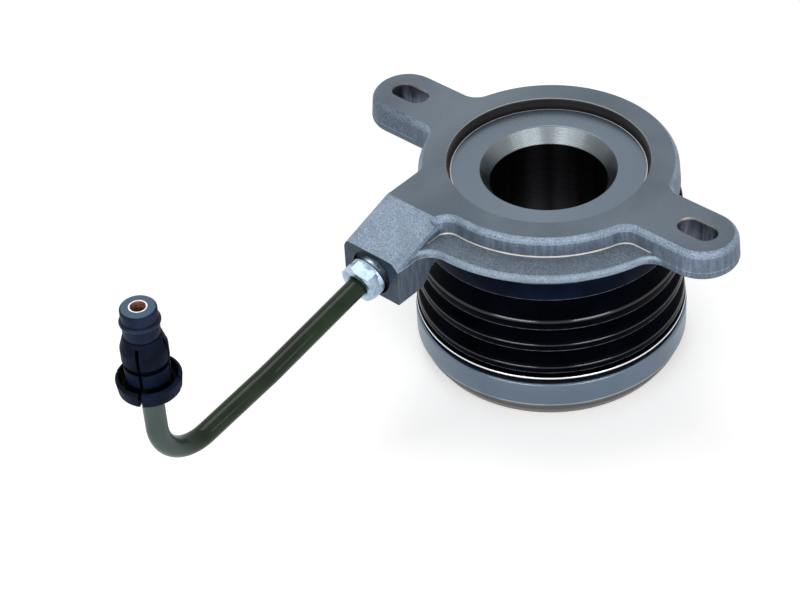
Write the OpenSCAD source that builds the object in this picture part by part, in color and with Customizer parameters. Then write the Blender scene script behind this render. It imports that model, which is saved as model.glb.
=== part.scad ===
// Concentric slave cylinder: an annular hydraulic cylinder that slides a clutch release bearing on a shaft.
// The origin is the centre of the mounting face on the bore axis. +Z points out of that face, the ears lie
// along X and the pipe leaves towards -Y. Depths are measured down from the mounting face, with the piston
// fully out.

/* [Flange] */
// Radius of the round flange
flange_r = 38.1; // [35:0.1:41]
// Thickness of the flange and the ears
flange_t = 9.2; // [8:0.1:11]
// Radius of the rolled upper edge
edge_r = 3; // [1.5:0.1:3.6]
// Radius of the lower edge
lower_edge_r = 1.6; // [0.5:0.1:2.5]
// How far the walls of the casting lean out between the two edges
draft = 0.4; // [0.2:0.05:0.8]

/* [Ears] */
// Distance between the centres of the two slots
slot_spacing = 106; // [98:0.5:116]
// Width of each slot
slot_w = 7.4; // [6.4:0.1:8.4]
// Length of each slot from end to end
slot_l = 12.6; // [9:0.1:15]
// Width of each ear
ear_w = 21.6; // [18:0.1:24]
// Distance from the slot's centre out to the centre of the ear's round end
ear_end_shift = 1.5; // [0:0.1:3]
// Radius of the fillets between the ears and the flange
ear_fillet = 4.5; // [2:0.1:8]

/* [Ledge] */
// Outer radius of the ledge between the boss and the ear
ledge_r = 46.3; // [43:0.1:48]
// Depth of the ledge's top
ledge_depth = 6; // [4:0.1:6.4]
// Thickness of the ledge
ledge_t = 3; // [2.6:0.1:3.2]
// Radius of the fillets at the ends of the ledge
ledge_fillet = 6; // [2:0.1:8]

/* [Pipe boss] */
// Distance of the boss's middle from the bore axis, along X
boss_x = -16.9; // [-19:0.1:-15]
// Width of the boss
boss_w = 20.8; // [18:0.1:22]
// Distance of the boss's end face from the bore axis
boss_reach = 58.5; // [56:0.1:64]
// Distance from the bore axis at which the boss's top starts to fall
boss_break = 40.5; // [39:0.1:43]
// Depth of the boss's top at its end face
boss_drop = 5.9; // [3:0.1:6.5]
// Depth of the boss's underside
boss_depth = 20; // [19:0.1:24]
// Depth of the boss's root, between the boss and the hub
root_depth = 14; // [13.6:0.1:14.4]
// Radius of the boss's shoulder on the ledge side
shoulder_r = 3.8; // [2:0.1:4.5]
// Radius of the fillets between the boss and the flange
boss_fillet = 4; // [2:0.1:6]
// Depth of the parting line on the boss's wall
parting_depth = 8.4; // [7:0.1:10]
// How far the wall stands back below the parting line
parting_step = 0.4; // [0.2:0.05:0.8]
// Radius from the bore axis of the space kept free for the boot
boot_space_r = 44; // [43:0.1:46]

/* [Port] */
// Depth of the port's centre at the end face
port_depth = 13; // [12.6:0.1:13.6]
// Angle by which the port and the pipe point down
port_tilt = 11.2; // [8:0.1:16]
// Radius of the port's thread
port_r = 5; // [4.8:0.05:5.2]
// Length of the port
port_len = 15; // [13:0.1:17]
// Radius of the spot face around the port
spot_r = 6.8; // [6.4:0.1:7.2]
// Radius of the drilled passage from the port to the cylinder
passage_r = 1.2; // [0.8:0.1:1.4]

/* [Guide sleeve] */
// Radius of the bore for the shaft
bore_r = 17.1; // [16:0.1:17.6]
// Wall of the sleeve's tube
sleeve_wall = 1.5; // [1.3:0.1:2]
// Wall of the sleeve's neck, where it seals in the housing
neck_wall = 3.3; // [3:0.1:4]
// Radius of the recess in the mounting face
recess_r = 29.3; // [28:0.1:31]
// Depth of the recess above the sleeve's flange
recess_depth = 3.2; // [2.5:0.1:4]
// Radial step between the wall of the recess and the sleeve's flange
seat_step = 0.5; // [0.3:0.1:1]
// Size of the broken edge around the recess
recess_edge = 0.4; // [0.2:0.1:0.6]
// Thickness of the sleeve's flange
sleeve_flange_t = 3; // [2.5:0.1:3.5]
// Radial size of the chamfer that leads into the bore
lead_in = 2.9; // [1.5:0.1:3]
// Length of the chamfer that leads into the bore
lead_in_len = 4.5; // [3:0.1:5]
// Diameter of the O-ring's section on the sleeve's neck
o_ring_d = 1.5; // [1.2:0.1:1.8]

/* [Cylinder] */
// Radius of the cylinder's bore
cylinder_r = 26; // [25:0.1:26.4]
// Wall of the cylinder
cylinder_wall = 4.2; // [3.5:0.1:4.4]
// Radius of the hub that carries the boot
hub_r = 36.6; // [36.4:0.1:37.2]
// Depth of the hub's lower face
hub_depth = 19.5; // [18.5:0.1:20.5]
// Depth of the top of the pressure chamber
chamber_depth = 11.5; // [11:0.1:12]
// Travel of the piston
stroke = 14; // [10:0.5:18]
// Height of the piston's lip seal
seal_h = 3.5; // [3:0.1:5]
// Length of the piston that stays in the cylinder when it is fully out
guide_len = 3.9; // [3.6:0.1:6]
// Radius of the piston's spigot for the bearing plate
spigot_r = 23; // [22.6:0.1:23.6]
// Width of the guide band
band_h = 2.4; // [1.8:0.1:2.6]
// Depth of the guide band's groove
band_t = 1.2; // [0.8:0.1:1.4]
// Axial thickness of the two snap rings
snap_t = 1.2; // [1:0.1:1.4]
// Radial height of the two snap rings
snap_h = 2.2; // [1.6:0.1:2.4]
// Angle that each snap ring leaves open
snap_open = 24; // [16:1:40]

/* [Spring] */
// Mean radius of the preload spring
spring_r = 32.8; // [32.4:0.1:33]
// Diameter of the spring's wire
wire_d = 2; // [1.6:0.1:2.4]
// Number of open turns
spring_turns = 3; // [2:1:3]
// Thickness of the upper spring seat
seat_t = 1; // [0.8:0.1:1.4]

/* [Boot] */
// Radius of the boot's collar
collar_r = 38.8; // [38.2:0.1:40]
// Depth of the collar's upper edge
collar_top = 14.4; // [14.4:0.1:15]
// Distance that the collar reaches below the hub
collar_over = 1.5; // [1:0.1:2.5]
// Thickness of the boot's wall
boot_wall = 1.1; // [0.8:0.05:1.2]
// Radius of the boot's folds at the crest
fold_r = 39.2; // [38.6:0.1:40.2]
// Growth of the crest radius from one fold to the next
fold_growth = 0.4; // [0:0.05:0.5]
// Radius of the boot between the folds
valley_r = 35.8; // [35.6:0.1:36.2]
// Height of the flat band on each crest
crest_h = 2.4; // [1.6:0.1:2.8]
// Radial distance by which the boot's foot stands back under the last crest
foot_in = 1.3; // [0.8:0.1:1.6]

/* [Bearing] */
// Radius of the ring that holds the boot down
retainer_r = 40.3; // [39.6:0.1:41]
// Thickness of that ring
retainer_t = 1; // [0.8:0.1:1.4]
// Radius of the plate between the piston and the bearing
carrier_r = 38.9; // [37.5:0.1:39.4]
// Thickness of that plate
carrier_t = 1.6; // [1.2:0.1:2]
// Outer radius of the bearing
bearing_r = 40.6; // [39.8:0.1:42]
// Height of the bearing's fixed outer ring
outer_ring_h = 8.4; // [8.2:0.1:10]
// Height of the release ring below the outer ring
release_h = 5; // [4:0.1:6]
// Radius of the release ring's upper rim
release_r = 39.8; // [39:0.1:40.4]
// Radius of the release ring's face
face_r = 37.6; // [36:0.1:38.4]
// Radius of the opening through the release ring
opening_r = 22.5; // [21.6:0.1:23.4]
// Radial distance from the circle that the balls run on to the bearing's outside
outer_ring_w = 9.4; // [9:0.1:9.8]
// Radius of each ball
ball_r = 2.6; // [2.3:0.05:2.7]
// Number of balls
ball_count = 24; // [16:1:26]

/* [Pipe] */
// Outer diameter of the pipe
pipe_d = 6; // [5.6:0.05:6.6]
// Inner diameter of the pipe
pipe_bore_d = 4.1; // [3.2:0.1:4.4]
// Distance from the boss's end face to the pipe's slight set, along Y
set_reach = 42; // [25:0.5:46]
// Angle by which the pipe comes up at the set
set_turn = 3.1; // [1:0.1:8]
// Radius of the slight set
set_r = 60; // [40:1:90]
// Distance from the boss's end face to the upright end of the pipe, along Y
pipe_reach = 83.8; // [78:0.1:110]
// Radius of the tight bend at the pipe's middle line
bend_r = 14.3; // [10:0.1:16]
// Height of the connector's lower end above the corner of the tight bend
connector_rise = 30.7; // [24:0.1:50]

/* [Tube nut] */
// Width of the hexagon across its flats
nut_af = 11; // [10.8:0.1:13]
// Height of the hexagon
nut_h = 4.4; // [4:0.1:6]
// Gap between the boss and the hexagon
nut_gap = 1.6; // [1:0.1:3]
// Radius of the round washer face behind the hexagon
washer_r = 5.9; // [5.4:0.1:6.2]
// Thickness of the washer face
washer_t = 1; // [0.6:0.1:1.2]
// Height of the chamfer at the corners of the hexagon
nut_chamfer = 0.6; // [0.4:0.05:1.2]
// Angle at which the hexagon stopped when it was tightened
nut_turn = -16.8; // [-30:0.1:30]

/* [Connector] */
// Radius of the plug's nose
nose_r = 4.9; // [4.6:0.05:5.2]
// Length of the plug's nose above its O-ring
nose_l = 3.6; // [3:0.1:6]
// Radius of the plug's O-ring over all
plug_ring_r = 5.5; // [5.3:0.05:5.8]
// Diameter of that O-ring's section
plug_ring_d = 1.7; // [1.5:0.05:1.8]
// Length of the plug's neck between the O-ring and the collet
neck_l = 3.4; // [2:0.1:4]
// Radius of the collet at its widest
collet_r = 6.3; // [6:0.05:6.8]
// Height of the collet from its lower end to its tip
collet_h = 18.6; // [15:0.1:20]
// Outer radius of the collet's collar
collar_flange_r = 8.8; // [8.2:0.05:10]
// Height of the collar
collar_flange_h = 5.1; // [4:0.1:6]
// Depth of the dish in the collar's upper side
dish_depth = 3.2; // [2:0.1:3.6]
// Height of the groove around the collet
collet_groove_h = 1.6; // [0.8:0.1:2]
// Depth of that groove
collet_groove_d = 1.2; // [0.5:0.1:1.4]
// Width of the slots in the collet
collet_slot_w = 0.9; // [0.6:0.1:1.2]
// Angle of the first slot
collet_turn = -60; // [-90:1:0]

/* [Clearances] */
// Radial clearance of the piston on the sleeve and in the cylinder
run_fit = 0.05; // [0.02:0.01:0.08]
// Clearance between pieces that are seated in each other
seat_fit = 0.03; // [0.02:0.01:0.06]
// Gap between parts that move past each other
moving_gap = 0.3; // [0.3:0.05:0.4]
// Gap left at each end of the piston's travel
end_gap = 0.3; // [0.2:0.05:0.6]
// Gap between the cylinder's end and the bearing plate when the piston is fully in
stop_gap = 1.4; // [1:0.1:3]

/* [Hidden] */
$fn = 96;
// Overlap that lets a fillet run into the wall beside it, and the reach of a cut past a face
seam = 0.02;
past = 1;
// How far the feet of a fillet web reach into the two walls
web_foot = 2.2;
// Where two round stretches meet end to end, one reaches into the other and is thinner by a hair
lap = 0.1;
swell = 0.01;

// Ears and boss in plan
ear_x = slot_spacing / 2 + ear_end_shift;
boss_x0 = boss_x - boss_w / 2;
boss_x1 = boss_x + boss_w / 2;
boss_slope = atan(boss_drop / (boss_reach - boss_break));

// Guide sleeve
neck_r = bore_r + neck_wall;
tube_r = bore_r + sleeve_wall;
shelf_depth = recess_depth + sleeve_flange_t;
seat_r = recess_r - seat_step;
o_ring_mid = (shelf_depth + chamber_depth) / 2;
o_groove_w = 1.3 * o_ring_d;

// Heights of the moving group with the piston fully out
piston_top = chamber_depth + end_gap + stroke;
crown_depth = piston_top + seal_h;
wall_end = crown_depth + guide_len;
wall_r = cylinder_r + cylinder_wall;
plate_depth = wall_end + stroke + stop_gap;
carrier_depth = plate_depth + retainer_t;
bearing_depth = carrier_depth + carrier_t;
outer_ring_end = bearing_depth + outer_ring_h;
release_depth = outer_ring_end + moving_gap;
face_depth = release_depth + release_h;
piston_or = cylinder_r - run_fit;
piston_ir = tube_r + run_fit;

// Snap rings: one below the plate on the spigot, one on the sleeve below the piston's inner shoulder.
// Each has a land of metal below it.
clip_land = 0.6;
stop_land = 1.8;
clip_depth = bearing_depth;
spigot_end = clip_depth + snap_t + clip_land;
stop_r = tube_r - sleeve_wall / 2;
stop_shoulder = carrier_depth + carrier_t / 4;
stop_depth = stop_shoulder + end_gap;
sleeve_end = stop_depth + snap_t + stop_land;
pocket_r = stop_r + snap_h + moving_gap;

// Bearing: the balls lie midway down the outer ring, and the lands stand off their circle by a share of
// their radius
pitch_r = bearing_r - outer_ring_w;
land_share = 0.65;
seal_t = 1.1;
seal_step = 1.2;
ball_depth = (bearing_depth + outer_ring_end) / 2;
race_r = ball_r + moving_gap;
outer_land = pitch_r + land_share * ball_r;
inner_land = pitch_r - land_share * ball_r;
seal_seat_r = outer_land + seal_step;
release_top = bearing_depth + seal_t + 2 * moving_gap;
inner_ring_w = 4.6;

// Boot folds: depth of each crest's lower edge as a share of the bellows' length
collar_end = hub_depth + collar_over;
boot_end = plate_depth - moving_gap;
fold_share = [0.388, 0.668, 0.967];
last_fold = len(fold_share) - 1;
valley_drop = 1.2;
valley_h = 0.7;

// Pipe run in its own plane: two corners, then the upright end
pipe_r = pipe_d / 2;
set_tilt = port_tilt - set_turn;
corner_1 = [-boss_reach - set_reach, -port_depth - set_reach * tan(port_tilt)];
corner_2 = [-boss_reach - pipe_reach, corner_1.y - (pipe_reach - set_reach) * tan(set_tilt)];
bend_turn = 90 + set_tilt;
set_tangent = set_r * tan(set_turn / 2);
bend_tangent = bend_r * tan(bend_turn / 2);
run_1 = set_reach / cos(port_tilt) - set_tangent;
run_2 = (pipe_reach - set_reach) / cos(set_tilt) - set_tangent - bend_tangent;
connector_z = corner_2.y + connector_rise;
ring_z = collet_h + neck_l + plug_ring_d / 2;
nose_top = collet_h + neck_l + plug_ring_d + nose_l;
run_3 = connector_rise + nose_top - bend_tangent;
flare_len = 2.4;
port_floor = 2.2;
pipe_in = port_len - port_floor;
tip_len = 1.1;
tip_r = 2.5;
core_wall = 0.9;
collet_bore = pipe_r + core_wall;

// Points of an outline with round corners, from a list of [x, y, corner radius]
function unit(v) = v / norm(v);
function corner(a, b, c, r, n) =
    let (
        u = unit(a - b),
        v = unit(c - b),
        half = acos(max(-1, min(1, u * v))) / 2,
        reach = min(r / tan(half), 0.49 * norm(a - b), 0.49 * norm(c - b)),
        radius = reach * tan(half),
        mid = b + unit(u + v) * radius / sin(half),
        from = b + u * reach - mid,
        to = b + v * reach - mid,
        turn = atan2(from.x * to.y - from.y * to.x, from * to),
        start = atan2(from.y, from.x)
    ) [for (k = [0 : n]) mid + radius * [cos(start + turn * k / n), sin(start + turn * k / n)]];
function xy(p) = [p.x, p.y];
function rounded(pts, n = 5) =
    [for (k = [0 : len(pts) - 1])
        let (
            a = xy(pts[(k + len(pts) - 1) % len(pts)]),
            b = xy(pts[k]),
            c = xy(pts[(k + 1) % len(pts)])
        ) each (pts[k][2] > 0 ? corner(a, b, c, pts[k][2], n) : [b])];

// Edge of a casting seen in section: how far each height lies inside the wall, from the top down
function rolled_top(r, lean) =
    [for (a = [60 : -15 : 0]) [lean + r * (1 - cos(a)), r * (sin(a) - sin(60))]];
function rolled_edge(t, r, low, lean) =
    concat(rolled_top(r, lean), [for (a = [0 : 18 : 90]) [low * (1 - cos(a)), low - t - low * sin(a)]]);
function reversed(v) = [for (k = [len(v) - 1 : -1 : 0]) v[k]];

// Solid of revolution about Z
module turned(points) rotate_extrude() polygon(points);

// Ring of rectangular section
module ring(r0, r1, z0, z1) turned([[r0, z0], [r1, z0], [r1, z1], [r0, z1]]);

// Disc whose rim follows an edge section
module edged_disc(r, edge)
    turned(concat([[0, 0]], [for (e = edge) [r - e.x, e.y]], [[0, edge[len(edge) - 1].y]]));

// Fillet between two walls: a plug in the corner with a round cut that follows the same edge section
module web(middle, foot_a, inside, foot_b, r, edge) {
    low = edge[len(edge) - 1];
    flare = concat([[0, past], [r + edge[0].x, past]], [for (e = edge) [r + e.x, e.y]],
        [[r + low.x, low.y - past], [0, low.y - past]]);
    difference() {
        translate([0, 0, low.y]) linear_extrude(-low.y) polygon([middle, foot_a, inside, foot_b]);
        translate([middle.x, middle.y, 0]) turned(flare);
    }
}

// Fillet between a disc and a wall that lies along X, on the side given by two signs
module web_along_x(disc_r, wall_y, r, sx, sy, edge) {
    y = wall_y + r - seam;
    x = sqrt(pow(disc_r + r - seam, 2) - y * y);
    share = (disc_r - web_foot) / norm([x, y]);
    web([sx * x, sy * y], [sx * x, sy * (wall_y - web_foot)], [sx * x * share, sy * (wall_y - web_foot)],
        [sx * x * share, sy * y * share], r, edge);
}

// Fillet between a disc and a wall that lies along Y, on the -Y side; side is +1 right of the wall and
// -1 left of it
module web_along_y(disc_r, wall_x, r, side, edge) {
    x = wall_x + side * (r - seam);
    y = -sqrt(pow(disc_r + r - seam, 2) - x * x);
    share = (disc_r - web_foot) / norm([x, y]);
    web([x, y], [wall_x - side * web_foot, y], [wall_x - side * web_foot, y * share + web_foot],
        [x * share, y * share], r, edge);
}

// One ear with its round end, pointing along +X
module ear(edge) {
    side = [for (e = edge) [ear_w / 2 - e.x, e.y]];
    outline = concat(side, [for (p = reversed(side)) [-p.x, p.y]]);
    rotate([90, 0, 90]) linear_extrude(ear_x) polygon(outline);
    translate([ear_x, 0, 0]) edged_disc(ear_w / 2, edge);
}

// Ledge between the boss and the near ear, with its two end fillets: a ring, of which one quarter is kept
module ledge() {
    edge = rolled_edge(ledge_t, ledge_t / 2, ledge_t / 2.5, 0);
    inner = flange_r - lower_edge_r - web_foot;
    section = concat([[inner, 0]], [for (e = edge) [ledge_r - e.x, e.y]], [[inner, -ledge_t]]);
    left = boss_x1 - 2 * web_foot;
    back = 2 * web_foot - ear_w / 2;
    translate([0, 0, -ledge_depth]) intersection() {
        union() {
            turned(section);
            web_along_x(ledge_r, ear_w / 2, ledge_fillet, 1, -1, edge);
            web_along_y(ledge_r, boss_x1, ledge_fillet, 1, edge);
        }
        translate([left, back - 2 * ledge_r, -ledge_t - past])
            cube([2 * ledge_r, 2 * ledge_r, ledge_t + 2 * past]);
    }
}

// Boss for the pipe: level near the flange, then falling to its end face, hollowed around the boot
module boss() {
    top = rolled_top(edge_r, draft);
    left = [for (e = reversed(top)) [boss_x0 + e.x, e.y]];
    right = [for (e = top) [boss_x1 - e.x, e.y]];
    shoulder = [for (a = [90 : -15 : 0]) [boss_x1 - shoulder_r * (1 - cos(a)), -shoulder_r * (1 - sin(a))]];
    foot = [[boss_x1, -2 * boss_depth], [boss_x0, -2 * boss_depth]];
    low = boss_depth + past;
    rise = boss_depth - root_depth;
    space = [
        [0, -root_depth],
        [boot_space_r, -root_depth],
        [boot_space_r + 0.55 * rise, -root_depth - 0.75 * rise],
        [boot_space_r + rise, -low],
        [0, -low]];
    difference() {
        intersection() {
            translate([2 * boss_x0, -boss_reach, -boss_depth]) cube([-2 * boss_x0, boss_reach, boss_depth]);
            union() {
                translate([0, -boss_break, 0]) rotate([90, 0, 180]) mirror([1, 0, 0])
                    linear_extrude(boss_break) polygon(concat(left, right, foot));
                translate([0, -boss_break, 0]) rotate([90 + boss_slope, 0, 0])
                    linear_extrude(boss_reach) polygon(concat(left, shoulder, foot));
            }
        }
        turned(space);
        translate([0, 0, -boss_depth]) cylinder(r = cylinder_r, h = 2 * boss_depth);
        translate([boss_x1 - parting_step, -boss_reach - past, -low])
            cube([parting_step + past, boss_reach + past - boot_space_r, low - parting_depth]);
    }
}

// Space above the falling part of the boss's top
module above_boss()
    translate([2 * boss_x0, -boss_break, 0]) rotate([boss_slope, 0, 0]) translate([0, -boss_reach, 0])
        cube([-2 * boss_x0, boss_reach, flange_t]);

// Frame of the port: its local Z runs out along the pipe
module at_port() translate([boss_x, -boss_reach, -port_depth]) rotate([90 + port_tilt, 0, 0]) children();

// Drilled passage from the upper half of the port's inner end down into the pressure chamber
module passage() {
    from = [boss_x, (port_len - 2) * cos(port_tilt) - boss_reach,
        (port_len - 2) * sin(port_tilt) - port_depth + port_r / 2];
    to = [boss_x, -sqrt(pow(cylinder_r, 2) - pow(boss_x, 2)) + past, -chamber_depth - 2 * passage_r];
    run = to - from;
    translate(from) rotate([-90 + atan2(run.z, run.y), 0, 0]) cylinder(r = passage_r, h = norm(run));
}

// Slot for a mounting bolt, with its centre at the origin
module slot_cut() {
    half = (slot_l - slot_w) / 2;
    translate([0, 0, -flange_t - past]) {
        for (x = [-half, half])
            translate([x, 0, 0]) cylinder(d = slot_w, h = flange_t + 2 * past);
        translate([-half, -slot_w / 2, 0]) cube([2 * half, slot_w, flange_t + 2 * past]);
    }
}

module housing() {
    edge = rolled_edge(flange_t, edge_r, lower_edge_r, draft);
    groove_mid = (collar_top + hub_depth) / 2;
    color([0.56, 0.6, 0.65]) difference() {
        union() {
            edged_disc(flange_r, edge);
            ear(edge);
            mirror([1, 0, 0]) ear(edge);
            for (sx = [-1, 1], sy = [-1, 1])
                web_along_x(flange_r, ear_w / 2, ear_fillet, sx, sy, edge);
            difference() {
                web_along_y(flange_r, boss_x1, boss_fillet, 1, edge);
                above_boss();
            }
            web_along_y(flange_r, boss_x0, boss_fillet, -1, edge);
            boss();
            ledge();
            translate([0, 0, -hub_depth]) cylinder(r = hub_r, h = hub_depth - flange_t / 2);
            translate([0, 0, -wall_end]) cylinder(r = wall_r, h = wall_end - flange_t / 2);
        }
        // Recess with a broken edge, then the seat of the sleeve's flange
        translate([0, 0, -recess_depth]) cylinder(r = recess_r, h = recess_depth + past);
        translate([0, 0, -recess_edge])
            cylinder(r1 = recess_r, r2 = recess_r + 2 * recess_edge, h = 2 * recess_edge);
        translate([0, 0, -shelf_depth]) cylinder(r = seat_r, h = sleeve_flange_t + past);
        // Seat of the sleeve's neck, then the cylinder with a lead-in at its mouth
        translate([0, 0, -chamber_depth - past]) cylinder(r = neck_r + seat_fit, h = chamber_depth);
        translate([0, 0, -wall_end - past]) cylinder(r = cylinder_r, h = wall_end + past - chamber_depth);
        translate([0, 0, -wall_end - past])
            cylinder(r1 = cylinder_r + 2 * past, r2 = cylinder_r, h = 2 * past);
        // Groove for the boot's bead
        ring(hub_r - boot_wall, hub_r + past, -groove_mid - boot_wall, -groove_mid + boot_wall);
        for (x = [-slot_spacing / 2, slot_spacing / 2])
            translate([x, 0, 0]) slot_cut();
        at_port() {
            translate([0, 0, -port_len]) cylinder(r = port_r, h = port_len + past);
            translate([0, 0, -spot_r * tan(port_tilt)]) cylinder(r = spot_r, h = 2 * spot_r);
        }
        passage();
    }
}

module guide_sleeve() {
    r = seat_r - seat_fit;
    color([0.5, 0.52, 0.54]) difference() {
        turned(rounded([
            [bore_r + lead_in, -recess_depth, 0.5],
            [r, -recess_depth, 0.6],
            [r, -shelf_depth, 0],
            [neck_r, -shelf_depth, 0],
            [neck_r, -chamber_depth + 1, 0.4],
            [tube_r, -chamber_depth, 0],
            [tube_r, -sleeve_end, 0.6],
            [bore_r, -sleeve_end, 0.3],
            [bore_r, -recess_depth - lead_in_len, 0.6]]));
        ring(neck_r - o_ring_d, neck_r + past, -o_ring_mid - o_groove_w / 2, -o_ring_mid + o_groove_w / 2);
        ring(stop_r, tube_r + past, -stop_depth - snap_t - seat_fit, -stop_depth + seat_fit);
    }
}

module sleeve_o_ring()
    color([0.08, 0.08, 0.09]) translate([0, 0, -o_ring_mid])
        rotate_extrude() translate([neck_r - o_ring_d / 2, 0]) circle(d = o_ring_d - 2 * seat_fit);

// Open snap ring of rectangular section
module snap_ring(r, z) {
    section = [[r + seat_fit, z], [r + snap_h, z], [r + snap_h, z - snap_t], [r + seat_fit, z - snap_t]];
    rotate([0, 0, snap_open / 2 - 90]) rotate_extrude(angle = 360 - snap_open) polygon(section);
}

module stop_ring() color([0.3, 0.31, 0.33]) snap_ring(stop_r, -stop_depth);

module piston() {
    band_mid = crown_depth + guide_len / 2;
    color([0.62, 0.6, 0.55]) difference() {
        turned(rounded([
            [piston_ir, -crown_depth, 0],
            [piston_or, -crown_depth, 0],
            [piston_or, -carrier_depth, 0.4],
            [spigot_r, -carrier_depth, 0],
            [spigot_r, -spigot_end, 0.4],
            [pocket_r, -spigot_end, 0],
            [pocket_r, -stop_shoulder, 0],
            [piston_ir, -stop_shoulder, 0.3]]));
        ring(piston_or - band_t, piston_or + past, -band_mid - band_h / 2, -band_mid + band_h / 2);
        ring(spigot_r - snap_h / 2, spigot_r + past, -clip_depth - snap_t - seat_fit, -clip_depth);
    }
}

module piston_seal() {
    lip = 0.28 * (piston_or - piston_ir);
    color([0.1, 0.1, 0.11]) turned(rounded([
        [piston_ir, -crown_depth, 0.2],
        [piston_or, -crown_depth, 0.2],
        [piston_or, -piston_top, 0.3],
        [piston_or - lip, -piston_top, 0.3],
        [(piston_or + piston_ir) / 2, -piston_top - 0.6 * seal_h, 0.5],
        [piston_ir + lip, -piston_top, 0.3],
        [piston_ir, -piston_top, 0.3]]));
}

module guide_band() {
    mid = crown_depth + guide_len / 2;
    half = band_h / 2 - seat_fit;
    inner = piston_or - band_t + seat_fit;
    open = 4;
    color([0.35, 0.24, 0.16]) rotate([0, 0, open / 2 + 90]) rotate_extrude(angle = 360 - open)
        polygon([
            [inner, -mid - half],
            [piston_or, -mid - half],
            [piston_or, -mid + half],
            [inner, -mid + half]]);
}

module spring_seat() {
    inner = wall_r + seat_fit;
    outer = spring_r + wire_d / 2 + 0.3 + seat_t;
    color([0.55, 0.56, 0.58]) turned(rounded([
        [inner, -hub_depth, 0],
        [outer, -hub_depth, seat_t],
        [outer, -hub_depth - 2 * seat_t, 0.2],
        [outer - seat_t, -hub_depth - 2 * seat_t, 0.2],
        [outer - seat_t, -hub_depth - seat_t, 0.2],
        [inner, -hub_depth - seat_t, 0.2]]));
}

// Arc of the spring's wire in a level plane, from one angle to another
module wire_arc(radius, from, to, r)
    rotate([0, 0, from]) rotate_extrude(angle = to - from) translate([radius, 0]) circle(r = r, $fn = 24);

// One half turn of the spring. Even turns fall from -X to +X and odd ones back again; the even ones are
// thinner by a hair and reach into their neighbours.
module half_turn(k, z, drop) {
    odd = k % 2;
    lean = atan2(drop, 2 * spring_r);
    radius = norm([2 * spring_r, drop]) / 2;
    more = odd == 1 ? 0 : lap;
    translate([0, 0, z - drop / 2]) rotate([0, odd == 1 ? -lean : lean, 0])
        wire_arc(radius, (odd == 1 ? 0 : 180) - more, (odd == 1 ? 180 : 360) + more,
            wire_d / 2 - (odd == 1 ? 0 : swell));
}

module preload_spring() {
    top = -hub_depth - seat_t - wire_d / 2;
    bottom = -plate_depth + moving_gap + wire_d / 2;
    drop = (top - bottom) / (2 * spring_turns);
    closed = 240;
    color([0.4, 0.42, 0.45]) {
        translate([0, 0, top]) wire_arc(spring_r, 180 - closed, 180, wire_d / 2);
        for (k = [0 : 2 * spring_turns - 1])
            half_turn(k, top - k * drop, drop);
        translate([0, 0, bottom]) wire_arc(spring_r, 180 - lap, 180 + closed, wire_d / 2 - swell);
    }
}

// Outer line of the boot from the collar's lower edge down, moved in by a wall thickness
function fold_z(k) = k < 0 ? -collar_end : -collar_end - fold_share[k] * (boot_end - collar_end);
function crest_r(k) = k < 0 ? collar_r : fold_r + k * fold_growth;
function boot_line(t) = concat(
    [for (k = [0 : last_fold]) each [
        [valley_r - t, fold_z(k - 1) - valley_drop - t / 2, 0.5],
        [valley_r - t, fold_z(k - 1) - valley_drop - valley_h - t / 2, 0.9],
        [crest_r(k) - t, fold_z(k) + crest_h + t / 4, 0.9],
        [crest_r(k) - t, fold_z(k) + t, 0.5]]],
    [[crest_r(last_fold) - foot_in - t, fold_z(last_fold) + 0.8 * t, 0.2],
        [crest_r(last_fold) - foot_in - t, -boot_end, 0.2]]);

module dust_boot() {
    groove_mid = (collar_top + hub_depth) / 2;
    inner = hub_r + seat_fit;
    bead = boot_wall - seat_fit;
    outside = concat([[collar_r, -collar_top, 0.6], [collar_r, -collar_end, 0.5]], boot_line(0));
    inside = concat([
        [inner, -collar_top, 0.3],
        [inner, -groove_mid + bead, 0],
        [hub_r - bead, -groove_mid + bead, 0.3],
        [hub_r - bead, -groove_mid - bead, 0.3],
        [inner, -groove_mid - bead, 0],
        [inner, -collar_end + boot_wall, 0.3]], boot_line(boot_wall));
    color([0.05, 0.06, 0.09]) turned(rounded(concat(outside, reversed(inside)), 4));
}

module boot_retaining_ring() {
    inner = wall_r + 2 * moving_gap;
    lip_r = spring_r + wire_d / 2 + moving_gap;
    lip_t = 0.7;
    color([0.85, 0.86, 0.88]) turned(rounded([
        [inner, -plate_depth, 0.3],
        [lip_r, -plate_depth, 0],
        [lip_r, -plate_depth + wire_d, 0.2],
        [lip_r + lip_t, -plate_depth + wire_d, 0.2],
        [lip_r + lip_t, -plate_depth, 0],
        [retainer_r, -plate_depth, 0.45 * retainer_t],
        [retainer_r, -carrier_depth, 0.45 * retainer_t],
        [inner, -carrier_depth, 0]]));
}

module bearing_carrier()
    color([0.24, 0.25, 0.27]) ring(spigot_r + seat_fit, carrier_r, -bearing_depth, -carrier_depth);

module carrier_clip() color([0.3, 0.31, 0.33]) snap_ring(spigot_r - snap_h / 2, -clip_depth);

module bearing_outer_ring()
    color([0.48, 0.51, 0.54]) difference() {
        turned(rounded([
            [seal_seat_r, -bearing_depth, 0],
            [bearing_r, -bearing_depth, 0.7],
            [bearing_r, -outer_ring_end, 0.5],
            [outer_land + 0.6, -outer_ring_end, 0.4],
            [outer_land, -outer_ring_end + 0.8, 0],
            [outer_land, -bearing_depth - seal_t - seat_fit, 0],
            [seal_seat_r, -bearing_depth - seal_t - seat_fit, 0]]));
        race();
    }

// Groove that the balls run in
module race() translate([0, 0, -ball_depth]) rotate_extrude() translate([pitch_r, 0]) circle(r = race_r);

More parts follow.
